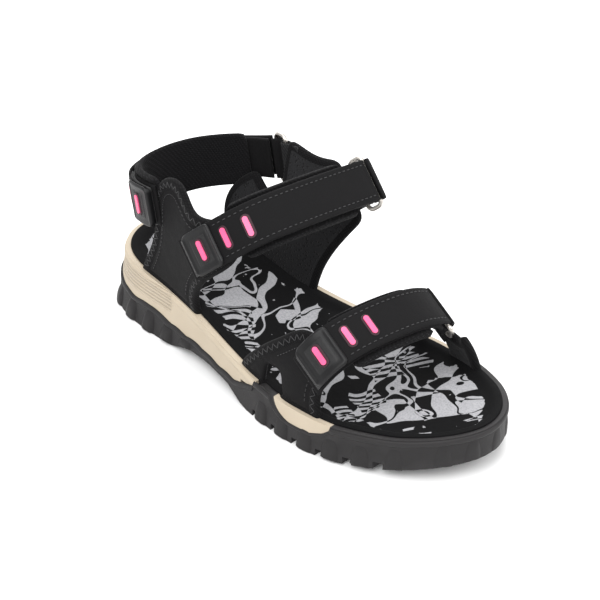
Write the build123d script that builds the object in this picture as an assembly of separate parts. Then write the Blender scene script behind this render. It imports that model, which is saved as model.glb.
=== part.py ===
"""Strappy sport sandal for the right foot, built as separate pieces.

Frame: millimetres, +X toward the toe, +Y toward the inner (medial) side, +Z up.
The origin is the middle of the heel tread, on the ground.
"""
from build123d import *
import math
import os

# ---- overall sizes -----------------------------------------------------------
sole_length = 265.0       # heel rim to toe tip
ball_width = 99.0         # sole rim across the ball of the foot
heel_to_origin = 35.0     # heel rim back to the origin
heel_rim_height = 37.0    # top of the sole rim at the heel
ball_rim_height = 22.0    # top of the sole rim at the ball
toe_spring = 13.0         # how far the tread lifts under the toe tip
arch_lift = 8.0           # gap under the arch
upper_height = 1.0        # scale of everything above the sole

# ---- sole ----------------------------------------------------------------------
heel_flare = 7.0          # how far the sole spreads outward to the ground, heel
side_flare = 4.0          # the same at the sides
rim_inset = 6.0           # rim to the edge of the footbed
cup_start = 131.0         # heel tread ends, rubber cup begins
seam_end = 149.0          # where the rubber has risen to the rim
lug_depth = 4.0
lug_length = 11.0
lug_pitch = 16.0
footbed_foam_thickness = 5.0
footbed_cover_thickness = 1.2
footbed_drop = 1.5        # footbed surface below the rim

# ---- upper ---------------------------------------------------------------------
lining_thickness = 2.6
shell_thickness = 1.3
body_gap = 0.3            # free gap between pieces that move on each other
sewn_gap = 0.06           # between sewn or glued layers

# ---- straps, the same for all three ----------------------------------------------
strap_width = 24.0
tail_thickness = 2.2
base_thickness = 1.8
pad_thickness = 3.0
pad_margin = 3.5          # padding beyond each edge of the strap
ring_wire = 2.6           # wire diameter
ring_reach = 9.0          # between the two bars of a ring
loop_wall = 1.4           # webbing round the inner bar of a ring
patch_thickness = 0.8     # hook and loop faces
patch_length = 30.0
tab_length = 19.0
tab_thickness = 1.3
bar_length = 11.0         # the coloured accent bars
bar_width = 3.0
bar_height = 0.9
bar_pitch = 13.0

stretch_x = sole_length / 265.0
stretch_y = ball_width / 99.0


def place(u, y, z):
    """A point given as distance from the heel rim, side offset and height."""
    rise = heel_rim_height - 37.0
    return Vector(u * stretch_x - heel_to_origin, y * stretch_y, (z + rise) * upper_height)


def blend(x, knots):
    """Straight-line interpolation through (position, value) knots."""
    if x <= knots[0][0]:
        return knots[0][1]
    for (a, va), (b, vb) in zip(knots, knots[1:]):
        if x <= b:
            return va + (vb - va) * (x - a) / (b - a)
    return knots[-1][1]


# ---- sole ------------------------------------------------------------------------
RIM = [(0, 0), (4, 14), (14, 25), (32, 31.5), (60, 33.5), (95, 32.5), (130, 37), (160, 43.5),
       (190, 47.5), (215, 45.5), (238, 37.5), (254, 25), (263, 10), (264, -2), (258, -16),
       (243, -31), (220, -43), (195, -50), (168, -51.5), (135, -47), (100, -40), (65, -34.5),
       (32, -32), (14, -25), (4, -14)]


def outline(grow_back, grow_side, z, inset=0.0):
    """Sole outline at height z, grown at the heel back and the sides, or set in all round."""
    points = []
    for u, y in RIM:
        heel = max(0.0, 1.0 - u / 45.0)
        fade = 1.0 - 0.75 * min(1.0, max(0.0, u - 60) / 170)
        side = grow_side * fade * max(-1.0, min(1.0, y / 20.0))
        points.append(Vector(u * stretch_x - heel_to_origin - grow_back * heel,
                             y * stretch_y + side, z))
    if inset:
        around = zip(points[-1:] + points[:-1], points, points[1:] + points[:1])
        points = [here + (after - before).normalized().cross(Vector(0, 0, 1)) * inset
                  for before, here, after in around]
    return Face(Wire([Spline(*points, periodic=True)]))


def sole_block():
    """The whole sole volume: flared foot outline, not yet cut to its side profile."""
    low = outline(heel_flare, side_flare, -1.0)
    high = outline(0.0, 0.0, heel_rim_height + 3.0)
    return loft([low, high])


def inner_block(inset):
    """A straight-sided block on the rim outline, set in by the given amount."""
    return extrude(outline(0.0, 0.0, 0.0, inset), heel_rim_height + 30.0, dir=(0, 0, 1))


def rim_height(u):
    """Height of the top of the sole rim."""
    h, b = heel_rim_height, ball_rim_height
    return blend(u, [(0, h), (25, h - 0.8), (55, h - 3), (85, h - 6.5), (110, b + 5),
                     (140, b + 1.2), (165, b), (200, b - 0.3), (232, b + 2.5), (270, b + 9)])


def ground_height(u):
    """Height of the bottom of the tread, arch and toe lift included."""
    a, t = arch_lift, toe_spring
    return blend(u, [(-10, 3), (4, 0), (62, 0), (80, a * 0.8), (98, a), (118, a * 0.85), (134, 0),
                     (186, 0), (205, t * 0.1), (228, t * 0.37), (250, t * 0.75), (272, t * 1.12)])


def seam_height(u):
    """Height of the line between the foam midsole and the rubber outsole."""
    b = ball_rim_height
    return blend(u, [(-12, 20), (8, 20.5), (22, 17), (38, 16), (50, 17.5), (64, 14.5), (78, 13.5),
                     (95, 14), (112, 12.5), (126, 12.2), (134, 13.8), (142, 17.5), (seam_end, b - 1)])


def side_face(lower, upper, start, end, step=6.0, straight=False):
    """A side-view face between two height lines; straight keeps flat ground flat."""
    count = max(3, int((end - start) / step))
    us = [start + (end - start) * i / count for i in range(count + 1)]
    low = [(u * stretch_x - heel_to_origin, 0, lower(u)) for u in us]
    top = [(u * stretch_x - heel_to_origin, 0, upper(u)) for u in reversed(us)]
    below = Polyline(*low).edges() if straight else [Spline(*low)]
    edges = [*below, Line(low[-1], top[0]), Spline(*top), Line(top[-1], low[0])]
    return Face(Wire(edges))


def profile(lower, upper, start, end, straight=False):
    """A side-view slice of the sole between two height lines, full width."""
    return extrude(side_face(lower, upper, start, end, straight=straight), 90.0 * stretch_y,
                   dir=(0, 1, 0), both=True)


def foot_floor(u):
    """Height of the footbed surface, a little cupped at the heel."""
    return rim_height(u) - footbed_drop - blend(u, [(0, 1.5), (60, 1.5), (110, 0), (265, 0)])


def foam_floor(u):
    """Underside of the footbed foam."""
    return foot_floor(u) - footbed_cover_thickness - footbed_foam_thickness


def window(centre, half_length):
    """Side window in the rubber cup that shows the foam behind it."""
    u0, u1 = centre - half_length, centre + half_length
    top = rim_height(centre)
    points = [(u0, top + 6), (u0 + 2, top - 5), (centre - 5, top - 10), (u1 - 12, top - 9.5),
              (u1 - 3, top - 6), (u1, top + 6)]
    path = [(u * stretch_x - heel_to_origin, 0, z) for u, z in points]
    face = Face(Wire([Spline(*path), Line(path[-1], path[0])]))
    return extrude(face, 90.0 * stretch_y, dir=(0, 1, 0), both=True)


def tread_grooves():
    """Cross grooves between the lugs, open to the ground."""
    grooves = []
    gap = lug_pitch - lug_length
    starts = [7 + lug_pitch * i for i in range(4)] + [143 + lug_pitch * i for i in range(6)]
    for start in starts:
        u = start + gap / 2
        x = u * stretch_x - heel_to_origin
        tool = Box(gap * stretch_x, 200 * stretch_y, 2 * lug_depth)
        grooves.append(Pos(x, 0, ground_height(u)) * tool)
    return Compound(grooves)


def wall_seam(u):
    """Underside of the foam rim wall: the footbed foam's underside, then clear of the rubber."""
    over_rubber = blend(u, [(cup_start - 11, 0), (cup_start, 1.2), (seam_end, 1.6)])
    return max(seam_height(u) + over_rubber, foam_floor(u))


def outsole_top(u):
    """Top line of the rubber cup: the rising foam seam, then the rim."""
    return seam_height(u) if u < seam_end else rim_height(u)


def sole_pieces():
    """Outsole, midsole and its rim, forefoot foam, side windows, footbed foam and cover."""
    block = sole_block()
    inside = inner_block(rim_inset)
    rim_wall = block - inside
    grooves = tread_grooves()
    rear = profile(ground_height, seam_height, -14, cup_start, straight=True)
    front = profile(ground_height, outsole_top, cup_start, 272, straight=True)
    floor = lambda u: ball_rim_height - 14.0 + toe_lift(u)
    hollow = inside & profile(floor, lambda u: 60, cup_start, 272)
    windows = window(180, 19)
    cup = (block & front) - hollow
    outsole = cup - windows - grooves
    heel_tread = (block & rear) - grooves
    midsole = block & profile(seam_height, foam_floor, -14, cup_start)
    rim = rim_wall & profile(wall_seam, rim_height, -14, seam_end - 4)
    fore_foam = inside & profile(floor, foam_floor, cup_start, 272)
    cover_floor = lambda u: foot_floor(u) - footbed_cover_thickness
    return {"outsole_cup": biggest(outsole), "outsole_heel": biggest(heel_tread),
            "midsole": biggest(midsole), "midsole_rim": biggest(rim),
            "forefoot_foam": biggest(fore_foam), "window_foam": Compound((cup & windows).solids()),
            "footbed_foam": biggest(inside & profile(foam_floor, cover_floor, -14, 272)),
            "footbed_cover": biggest(inside & profile(cover_floor, foot_floor, -14, 272))}


def toe_lift(u):
    """How much the forefoot foam's underside rises toward the toe tip."""
    return blend(u, [(200, 0), (228, toe_spring * 0.25), (272, toe_spring * 0.9)])


def biggest(shape):
    """The largest solid of a shape, without crumbs left by a cut."""
    return max(shape.solids(), key=lambda s: s.volume)


# ---- side panels -------------------------------------------------------------------
def through(z, low, middle, high):
    """A smooth curve of height through (height, value) at three levels."""
    (a, va), (b, vb), (c, vc) = low, middle, high
    return (va * (z - b) * (z - c) / ((a - b) * (a - c)) + vb * (z - a) * (z - c) / ((b - a) * (b - c))
            + vc * (z - a) * (z - b) / ((c - a) * (c - b)))


def lateral_quarter_side(u, z):
    """Side offset of the outer face of the lateral rear panel."""
    low = blend(u, [(25, 29.5), (32, 31), (65, 33.6), (100, 39), (130, 45)])
    middle = blend(u, [(25, 29), (50, 31.5), (70, 36), (90, 41.5), (110, 42.5), (130, 42)])
    high = blend(u, [(25, 27), (50, 29.5), (66, 32), (86, 38.5), (105, 37), (130, 27)])
    return -through(z, (30, low), (65, middle), (95, high))


def medial_quarter_side(u, z):
    """Side offset of the outer face of the medial rear panel."""
    low = blend(u, [(25, 29), (32, 30.6), (60, 32.6), (95, 31.6), (130, 36), (145, 39)])
    middle = blend(u, [(25, 32), (60, 39), (95, 40.5), (120, 44), (145, 48)])
    high = blend(u, [(25, 42), (60, 49.5), (90, 50), (120, 55), (145, 58)])
    return through(z, (30, low), (65, middle), (95, high))


def lateral_vamp_side(u, z):
    """Side offset of the outer face of the lateral front panel."""
    low = blend(u, [(110, 41.5), (135, 46), (168, 50.5), (195, 49), (215, 43.5)])
    middle = blend(u, [(110, 41), (140, 47), (170, 48.3), (200, 47.5)])
    high = blend(u, [(110, 39), (150, 43), (175, 41), (205, 39.5)])
    return -through(z, (20, low), (42, middle), (65, high))


def medial_vamp_side(u, z):
    """Side offset of the outer face of the medial front panel."""
    low = blend(u, [(150, 40.5), (160, 42.6), (190, 46.6), (215, 44.6), (235, 37.5)])
    middle = blend(u, [(150, 38), (175, 40.5), (200, 39), (230, 36)])
    high = blend(u, [(150, 29), (180, 29), (200, 27), (230, 24)])
    return through(z, (20, low), (40, middle), (58, high))


def wall_layer(side, stations, bottom, top, inner, outer):
    """A curved sheet on one side of the foot, between two depths inside its outer face."""
    sections = []
    for u in stations:
        faces = []
        for depth in (outer, inner):
            line = []
            for k in range(6):
                z = bottom + (top - bottom) * k / 5
                lean = side(u, z + 1) - side(u, z)
                sign = 1 if side(u, z) > 0 else -1
                shift = Vector(0, -sign * depth * math.sqrt(1 + lean * lean), 0)
                line.append(place(u, side(u, z), z) + shift)
            faces.append(line)
        out, back = faces[0], list(reversed(faces[1]))
        edges = [Spline(*out), Line(out[-1], back[0]), Spline(*back), Line(back[-1], out[0])]
        sections.append(Face(Wire(edges)))
    return loft(sections)


def side_shape(points, on_rim=False):
    """A smooth closed side-view outline, as a block right across the sandal."""
    path = [place(u, 0, z) for u, z in points]
    face = Face(Wire([Spline(*path, periodic=True)]))
    block = extrude(face, 100.0 * stretch_y, dir=(0, 1, 0), both=True)
    if on_rim:
        block = block & profile(rim_height, lambda u: 160, -14, 272)
    return block


QUARTER_LATERAL = [(31, 20), (32, 32), (38, 46), (44, 60), (46, 74), (46, 88), (50, 97), (58, 102.5),
                   (68, 102.5), (76, 98.5), (84, 95.5), (93, 95.5), (103, 97), (113, 93), (118, 84),
                   (112, 73), (101, 63), (90, 50), (85, 38), (86, 27), (86, 20), (60, 20)]
QUARTER_MEDIAL = [(40, 20), (40, 32), (37, 46), (38, 60), (46, 72), (58, 82), (64, 94), (69, 99.5),
                  (75, 97), (81, 92), (90, 90), (100, 92), (108, 99), (116, 106), (125, 104),
                  (134, 96), (136, 86), (129, 72), (119, 56), (112, 40), (110, 28), (109, 20),
                  (80, 20)]
VAMP_LATERAL = [(127, 10), (128, 24), (136, 35), (148, 47), (160, 57), (170, 64), (183, 64.5),
                (195, 60), (196, 52), (191, 40), (190, 26), (192, 10), (160, 8)]
VAMP_MEDIAL = [(164, 10), (165, 24), (173, 40), (180, 52), (184, 60), (196, 62), (210, 58),
               (217, 50), (220, 40), (223, 26), (225, 10), (195, 8)]


def vent(u0, u1, z0, z1):
    """A rounded vent hole through a front panel."""
    points = [(u0, z0 + 2), (u0 + 1, (z0 + z1) / 2), (u0 + 3, z1 - 1), ((u0 + u1) / 2, z1),
              (u1 - 3, z1 - 1), (u1 - 1, (z0 + z1) / 2), (u1, z0 + 2), ((u0 + u1) / 2, z0)]
    return side_shape(points)


def panel(side, stations, bottom, top, shape, holes, notch):
    """Shell, lining and both together of one side panel, cut to outline, vents and notch."""
    total = shell_thickness + lining_thickness
    tool = side_shape(shape, on_rim=True)
    for hole in holes:
        tool -= hole
    layers = []
    for inner, outer in ((shell_thickness, 0.0), (total, shell_thickness + 3 * sewn_gap), (total, 0.0)):
        layer = wall_layer(side, stations, bottom, top, inner, outer) & tool
        if notch:
            layer -= notch
        layers.append(biggest(layer))
    return layers


# ---- straps -------------------------------------------------------------------------
bar_clear = ring_wire / 2 + body_gap                # ring bar to the strap round it
fold_radius = bar_clear + tail_thickness            # outside of the folded strap
ring_half = strap_width / 2 + 1.0 + ring_wire / 2   # half width of a ring, wire centre


def unit(x, y):
    """The direction (x, y) at length one."""
    length = math.hypot(x, y)
    return (x / length, y / length)


def strap_frame(axis, across, outward):
    """Working plane of a strap, seen along its ring bar, with its origin on the bar."""
    normal = Vector(*across).normalized().cross(Vector(*outward).normalized())
    return Plane(origin=axis, x_dir=Vector(*across), z_dir=normal)


def run_length(points):
    """Distance along a line of points, at each point."""
    total = [0.0]
    for (a, b), (c, d) in zip(points, points[1:]):
        total.append(total[-1] + math.hypot(c - a, d - b))
    return total


def strap_line(start, path):
    """Closely spaced points along the inner face of a strap's free end."""
    curve = Spline(*[(a, b, 0) for a, b in [start] + path])
    return [((curve @ (i / 60)).X, (curve @ (i / 60)).Y) for i in range(61)]


def at_distance(points, wanted):
    """Point and outward-left normal at a distance along a line of points."""
    total = run_length(points)
    wanted = max(0.0, min(total[-1], wanted))
    for i in range(len(points) - 1):
        if total[i + 1] >= wanted:
            break
    (a, b), (c, d) = points[i], points[i + 1]
    part = (wanted - total[i]) / (total[i + 1] - total[i])
    dx, dy = unit(c - a, d - b)
    return (a + (c - a) * part, b + (d - b) * part), (-dy, dx)


def strip(frame, points, side, start, end, low, high, width, count=16):
    """Part of a strap: from one distance to another, between two heights over the line."""
    lower, upper = [], []
    for i in range(count):
        where = start + (end - start) * i / (count - 1)
        (a, b), (nx, ny) = at_distance(points, where)
        near = low(where) if callable(low) else low
        far = high(where) if callable(high) else high
        lower.append((a + side * nx * near, b + side * ny * near, 0))
        upper.append((a + side * nx * far, b + side * ny * far, 0))
    upper.reverse()
    edges = [Spline(*lower), Line(lower[-1], upper[0]), Spline(*upper), Line(upper[-1], lower[0])]
    return frame * extrude(Face(Wire(edges)), width / 2, dir=(0, 0, 1), both=True)


def bar_tool(frame, a, b, radius, length):
    """A round bar along the strap's ring axis direction."""
    return frame * (Pos(a, b, 0) * Cylinder(radius, length))


def make_ring(frame, lean):
    """A wire loop with two long bars, one at the origin and one at its inner end."""
    centre = frame.from_local_coords((lean[0] * ring_reach / 2, lean[1] * ring_reach / 2, 0))
    reach = frame.from_local_coords((lean[0], lean[1], 0)) - frame.origin
    plane = Plane(origin=centre, x_dir=frame.z_dir, z_dir=frame.z_dir.cross(reach))
    path = (plane * RectangleRounded(2 * ring_half, ring_reach, 3.0)).wire()
    wire_section = Plane(origin=path @ 0, z_dir=path % 0) * Circle(ring_wire / 2)
    return sweep(wire_section, path=path)


def make_loop(frame, lean, side, keep_out, length):
    """Webbing folded round the inner bar of a ring and sewn down on its panel."""
    bore = ring_wire / 2 + body_gap
    a, b = lean[0] * ring_reach, lean[1] * ring_reach
    width = strap_width - 2.0
    sleeve = bar_tool(frame, a, b, bore + loop_wall, width)
    angle = math.degrees(math.atan2(lean[1], lean[0]))
    flap = Box(length, 2 * loop_wall, width, align=(Align.MIN, Align.CENTER, Align.CENTER))
    flap = frame * (Pos(a, b, 0) * Rot(0, 0, angle) * Pos(bore, -side * 0.6, 0) * flap)
    loop = sleeve + flap - bar_tool(frame, a, b, bore, width + 2)
    return biggest(loop - keep_out)


def ring_notch(frame, lean):
    """Room that the end of a panel leaves round a ring and its webbing."""
    a, b = lean[0] * ring_reach, lean[1] * ring_reach
    angle = math.degrees(math.atan2(lean[1], lean[0]))
    clear = ring_wire / 2 + body_gap + loop_wall + 0.2
    room = Box(60, 24, 2 * ring_half + ring_wire + 6, align=(Align.MAX, Align.CENTER, Align.CENTER))
    return frame * (Pos(a, b, 0) * Rot(0, 0, angle) * Pos(clear, 0, 0) * room)


def make_strap(name, frame, side, path, lean, base_end, pad_span, keep_out):
    """One closing strap: fixed leg, ring, fold, free end, fastening faces and trim."""
    way = unit(*path[0])
    normal = (-way[1] * side, way[0] * side)
    start = (normal[0] * bar_clear, normal[1] * bar_clear)
    line = strap_line(start, path)
    total = run_length(line)[-1]
    end = total - base_end
    settle = 16.0

    def base_top(where):
        """Outer face of the fixed leg: under the free end, round the bar near the ring."""
        part = max(0.0, min(1.0, where / settle))
        part = part * part * (3 - 2 * part)
        return -2 * bar_clear * (1 - part) - body_gap * part

    def base_bottom(where):
        return base_top(where) - base_thickness

    hook_start = end - tab_length - patch_length + 12
    loop_start = end - tab_length - patch_length

    def tail_bottom(where):
        """Inner face of the free end, set back where the hook tape is sewn on."""
        part = max(0.0, min(1.0, (where - hook_start) / 5.0))
        return (patch_thickness + sewn_gap) * part

    def leg_top(where):
        """Outer face of the fixed leg, set back where the loop tape is sewn on."""
        part = max(0.0, min(1.0, (where - loop_start) / 5.0))
        return base_top(where) - (patch_thickness + sewn_gap) * part

    def leg_bottom(where):
        return base_bottom(where) - patch_thickness

    hinge_room = bar_tool(frame, 0, 0, fold_radius + body_gap, 200)
    tail = strip(frame, line, side, 0, end, tail_bottom, tail_thickness, strap_width, 40)
    tail -= hinge_room
    hook = strip(frame, line, side, hook_start + 5, end - 3, 0, patch_thickness, strap_width - 3)
    over = tail_thickness + sewn_gap
    tab_low = strip(frame, line, side, end - tab_length, end + sewn_gap, over,
                    over + tab_thickness, strap_width, 24)
    tip = strip(frame, line, side, end + sewn_gap, end + 1.4, 0, over + tab_thickness,
                strap_width, 3)
    leg = strip(frame, line, side, 0, total, leg_bottom, leg_top, strap_width, 40) - hinge_room
    loop_face = strip(frame, line, side, loop_start + 5, total - 3, -body_gap - patch_thickness,
                      -body_gap, strap_width - 3)
    pad = strip(frame, line, side, pad_span[0], min(pad_span[1], total),
                lambda w: leg_bottom(w) - sewn_gap - pad_thickness,
                lambda w: leg_bottom(w) - sewn_gap, strap_width + 2 * pad_margin, 24)
    fold = bar_tool(frame, 0, 0, fold_radius, strap_width)
    fold -= bar_tool(frame, 0, 0, bar_clear, strap_width + 2)
    angle = math.degrees(math.atan2(way[1], way[0]))
    slot = Box(20, 2 * bar_clear, 60, align=(Align.MIN, Align.CENTER, Align.CENTER))
    fold -= frame * (Rot(0, 0, angle) * slot)
    bars = []
    for i in range(3):
        where = end - tab_length / 2 - i * bar_pitch - (3.0 if i else 0.0)
        height = over + (tab_thickness if i == 0 else 0.0) + 0.03
        bars.append(accent_bar(frame, line, side, where, height))
    leg -= keep_out
    pad -= keep_out
    pieces = {
        "strap_base": biggest(leg), "strap_pad": biggest(pad),
        "strap_loop_face": biggest(loop_face - keep_out),
        "ring": make_ring(frame, lean), "strap_fold": biggest(fold),
        "strap_tail": biggest(tail), "strap_hook_face": hook,
        "strap_tab": biggest(tab_low + tip), "accent_bars": Compound(bars)}
    return {f"{name}_{key}": value for key, value in pieces.items()}


def accent_bar(frame, line, side, where, height):
    """One raised coloured bar across a strap."""
    (a, b), (nx, ny) = at_distance(line, where)
    angle = math.degrees(math.atan2(ny, nx)) - 90.0
    a, b = a + side * nx * height, b + side * ny * height
    bar = extrude(SlotOverall(bar_length, bar_width), bar_height)
    turned = Rot(0, 90, 0) * Rot(0, 0, 0) * bar
    spot = Pos(a, b, 0) * Rot(0, 0, angle + (90 if side > 0 else -90)) * turned
    return (frame * spot).solid()


# ---- the three straps ------------------------------------------------------------------
INSTEP_ACROSS = (-0.065, -0.9956, 0.068)
INSTEP_OUT = (0.72, 0.0, 0.69)
INSTEP_PATH = [(11.5, 3.4), (31.5, 5.6), (51.5, 6.6), (70, 6.0), (84, 1.8), (93, -8), (98.5, -21),
               (102, -34), (103.5, -44)]
INSTEP_LEAN = unit(0.29, -0.957)
FORE_ACROSS = (-0.108, -0.9925, 0.055)
FORE_OUT = (0.45, 0.0, 0.89)
FORE_PATH = [(10, 7.4), (22, 11.6), (38, 12.9), (54, 11.6), (67.5, 7.8), (76, 0.8), (80.5, -8), (83, -17)]
FORE_LEAN = unit(-0.37, -0.93)
HEEL_TILT = math.radians(11.0)
HEEL_AHEAD = (math.cos(HEEL_TILT), 0.0, math.sin(HEEL_TILT))
HEEL_PATH = [(-10, -3.6), (-20, -8.6), (-30.5, -15.6), (-39.5, -24.5), (-45.5, -35.5), (-48, -48),
             (-47, -59.5), (-42.5, -70), (-34.5, -77.6), (-24, -82), (-10, -84.3)]
HEEL_LEAN = unit(0.985, -0.17)


def strap_setups():
    """Frame, side, path and ring lean of each strap, stretched with the overall sizes."""
    wide = stretch_y
    high = upper_height
    instep = strap_frame(place(126.7, 56.3, 94.0), INSTEP_ACROSS, INSTEP_OUT)
    fore = strap_frame(place(199.6, 29.8, 56.6), FORE_ACROSS, FORE_OUT)
    heel = strap_frame(place(61.0, 50.5, 85.0), HEEL_AHEAD, (0.0, 1.0, 0.0))
    return {
        "instep": (instep, 1, [(a * wide, b * high) for a, b in INSTEP_PATH], INSTEP_LEAN),
        "fore": (fore, 1, [(a * wide, b * high) for a, b in FORE_PATH], FORE_LEAN),
        "heel": (heel, -1, [(a * stretch_x, b * wide) for a, b in HEEL_PATH], HEEL_LEAN)}


def upper_pieces():
    """Side panels, straps, rings and their webbing."""
    setups = strap_setups()
    notches = {name: ring_notch(frame, lean) for name, (frame, _, _, lean) in setups.items()}
    rear_notch = notches["instep"] + notches["heel"]
    pieces = {}
    specs = {
        "lateral_quarter": (lateral_quarter_side, [25, 42, 58, 74, 90, 106, 125], 16, 108,
                            QUARTER_LATERAL, [], None),
        "medial_quarter": (medial_quarter_side, [30, 48, 66, 84, 102, 120, 142], 16, 112,
                           QUARTER_MEDIAL, [], rear_notch),
        "lateral_vamp": (lateral_vamp_side, [118, 134, 150, 168, 186, 204], 6, 74,
                         VAMP_LATERAL, [vent(148, 164, 21, 37)], None),
        "medial_vamp": (medial_vamp_side, [158, 172, 186, 200, 214, 230], 6, 66,
                        VAMP_MEDIAL, [vent(181, 200, 21, 38)], notches["fore"])}
    walls = {}
    for name, (side, stations, low, high, shape, holes, notch) in specs.items():
        shell, lining, walls[name] = panel(side, stations, low, high, shape, holes, notch)
        pieces[f"{name}_shell"] = shell
        pieces[f"{name}_lining"] = lining
    far = {"instep": "lateral_quarter", "fore": "lateral_vamp", "heel": "lateral_quarter"}
    flap = {"instep": 13.5, "fore": 11.0, "heel": 11.0}
    home = {"instep": "medial_quarter", "fore": "medial_vamp", "heel": "medial_quarter"}
    ends = {"instep": (9.0, (17, 99)), "fore": (8.0, (17, 74)), "heel": (3.0, (17, 160))}
    for name, (frame, side, path, lean) in setups.items():
        base_end, pad_span = ends[name]
        span = (pad_span[0], pad_span[1] * stretch_y)
        strap = make_strap(name, frame, side, path, lean, base_end, span, walls[far[name]])
        if name == "heel":
            strap["heel_strap_pad"] = biggest(strap["heel_strap_pad"] - walls[home[name]])
        pieces.update(strap)
        pieces[f"{name}_ring_loop"] = make_loop(frame, lean, side, walls[home[name]],
                                               flap[name])
    return pieces


def main():
    """Build every piece and write one STEP file for each."""
    os.makedirs("parts", exist_ok=True)
    pieces = {**sole_pieces(), **upper_pieces()}
    for name, shape in pieces.items():
        export_step(shape, f"parts/{name}.step")


if __name__ == "__main__":
    main()
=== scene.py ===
"""Looks for the strappy sport sandal: soft pieces, stitching, sole relief and finishes."""
import math
import bpy
import numpy as np
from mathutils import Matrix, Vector
from mathutils.geometry import delaunay_2d_cdt


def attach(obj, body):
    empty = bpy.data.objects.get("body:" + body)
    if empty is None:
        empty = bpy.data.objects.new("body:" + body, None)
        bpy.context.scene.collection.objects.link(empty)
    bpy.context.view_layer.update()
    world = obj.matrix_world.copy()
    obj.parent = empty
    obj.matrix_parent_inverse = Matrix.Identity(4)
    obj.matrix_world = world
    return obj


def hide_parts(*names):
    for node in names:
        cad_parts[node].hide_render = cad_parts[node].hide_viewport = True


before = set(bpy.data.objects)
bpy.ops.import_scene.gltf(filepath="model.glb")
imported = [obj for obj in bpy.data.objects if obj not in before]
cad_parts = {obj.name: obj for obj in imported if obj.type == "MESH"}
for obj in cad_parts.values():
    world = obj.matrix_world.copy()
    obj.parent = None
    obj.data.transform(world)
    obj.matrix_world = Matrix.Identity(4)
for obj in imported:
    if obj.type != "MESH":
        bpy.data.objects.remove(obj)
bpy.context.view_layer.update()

MM = 0.001
HEEL_TO_ORIGIN = 35.0
STRAP_WIDTH = 24.0
TAIL = 2.2                 # thickness of a strap's free end
BODY_GAP = 0.3
SEWN_GAP = 0.06
BASE = 1.8
PAD = 3.0
PAD_MARGIN = 3.5
RING_WIRE = 2.6
RING_REACH = 9.0
PATCH = 0.8
TAB_LENGTH = 19.0
TAB_THICKNESS = 1.3
PANEL = 3.9                # shell and lining together
BAR_CLEAR = RING_WIRE / 2 + BODY_GAP
RING_HALF = STRAP_WIDTH / 2 + 1.0 + RING_WIRE / 2


# ---- curves and small maths ----------------------------------------------------------
def knots(x, table):
    """Straight-line interpolation through (position, value) pairs."""
    xs, ys = zip(*table)
    return np.interp(x, xs, ys)


def spline(points, count, closed=False):
    """Points along a smooth curve through the given points."""
    p = np.array(points, float)
    if closed:
        p = np.vstack([p, p[:1]])
    n = len(p)
    h = np.linalg.norm(np.diff(p, axis=0), axis=1)
    t = np.concatenate([[0], np.cumsum(h)])
    a = np.zeros((n, n))
    r = np.zeros((n, p.shape[1]))
    for i in range(1, n - 1):
        a[i, i - 1], a[i, i], a[i, i + 1] = h[i - 1], 2 * (h[i - 1] + h[i]), h[i]
        r[i] = 6 * ((p[i + 1] - p[i]) / h[i] - (p[i] - p[i - 1]) / h[i - 1])
    if closed:
        a[0, 0], a[0, 1], a[0, n - 2] = 2 * (h[0] + h[-1]), h[0], h[-1]
        r[0] = 6 * ((p[1] - p[0]) / h[0] - (p[-1] - p[-2]) / h[-1])
        a[n - 1, 0], a[n - 1, n - 1] = 1, -1
    else:
        a[0, 0] = a[n - 1, n - 1] = 1
    m = np.linalg.solve(a, r)
    s = np.linspace(0, t[-1], count, endpoint=not closed)
    i = np.clip(np.searchsorted(t, s, "right") - 1, 0, n - 2)
    hi = h[i][:, None]
    left, right = (t[i + 1] - s)[:, None], (s - t[i])[:, None]
    return (m[i] * left ** 3 + m[i + 1] * right ** 3) / (6 * hi) \
        + (p[i] / hi - m[i] * hi / 6) * left + (p[i + 1] / hi - m[i + 1] * hi / 6) * right


def resample(line, spacing, closed=False):
    """The same polyline with evenly spaced points."""
    p = np.array(line, float)
    if closed:
        p = np.vstack([p, p[:1]])
    t = np.concatenate([[0], np.cumsum(np.linalg.norm(np.diff(p, axis=0), axis=1))])
    count = max(8, int(round(t[-1] / spacing)))
    s = np.linspace(0, t[-1], count, endpoint=not closed)
    return np.stack([np.interp(s, t, p[:, k]) for k in range(p.shape[1])], axis=1)


def normalise(v):
    """Vectors at length one."""
    return v / np.maximum(np.linalg.norm(v, axis=-1, keepdims=True), 1e-9)


def edge_distance(points, loops):
    """Distance from each 2D point to the nearest loop."""
    best = np.full(len(points), 1e9)
    for loop in loops:
        a, b = loop, np.roll(loop, -1, axis=0)
        ab = b - a
        for k in range(0, len(points), 2000):
            q = points[k:k + 2000, None, :] - a[None]
            t = np.clip((q * ab).sum(-1) / (ab * ab).sum(-1), 0, 1)
            d = np.linalg.norm(q - ab * t[..., None], axis=-1).min(1)
            best[k:k + 2000] = np.minimum(best[k:k + 2000], d)
    return best


def within(points, loop):
    """Which 2D points lie inside a closed loop."""
    x, y = points[:, 0][:, None], points[:, 1][:, None]
    a, b = loop, np.roll(loop, -1, axis=0)
    cross = (a[:, 1] > y) != (b[:, 1] > y)
    span = np.where(b[:, 1] == a[:, 1], 1e-9, b[:, 1] - a[:, 1])
    left = x < (b[:, 0] - a[:, 0]) * (y - a[:, 1]) / span + a[:, 0]
    return (cross & left).sum(1) % 2 == 1


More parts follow.
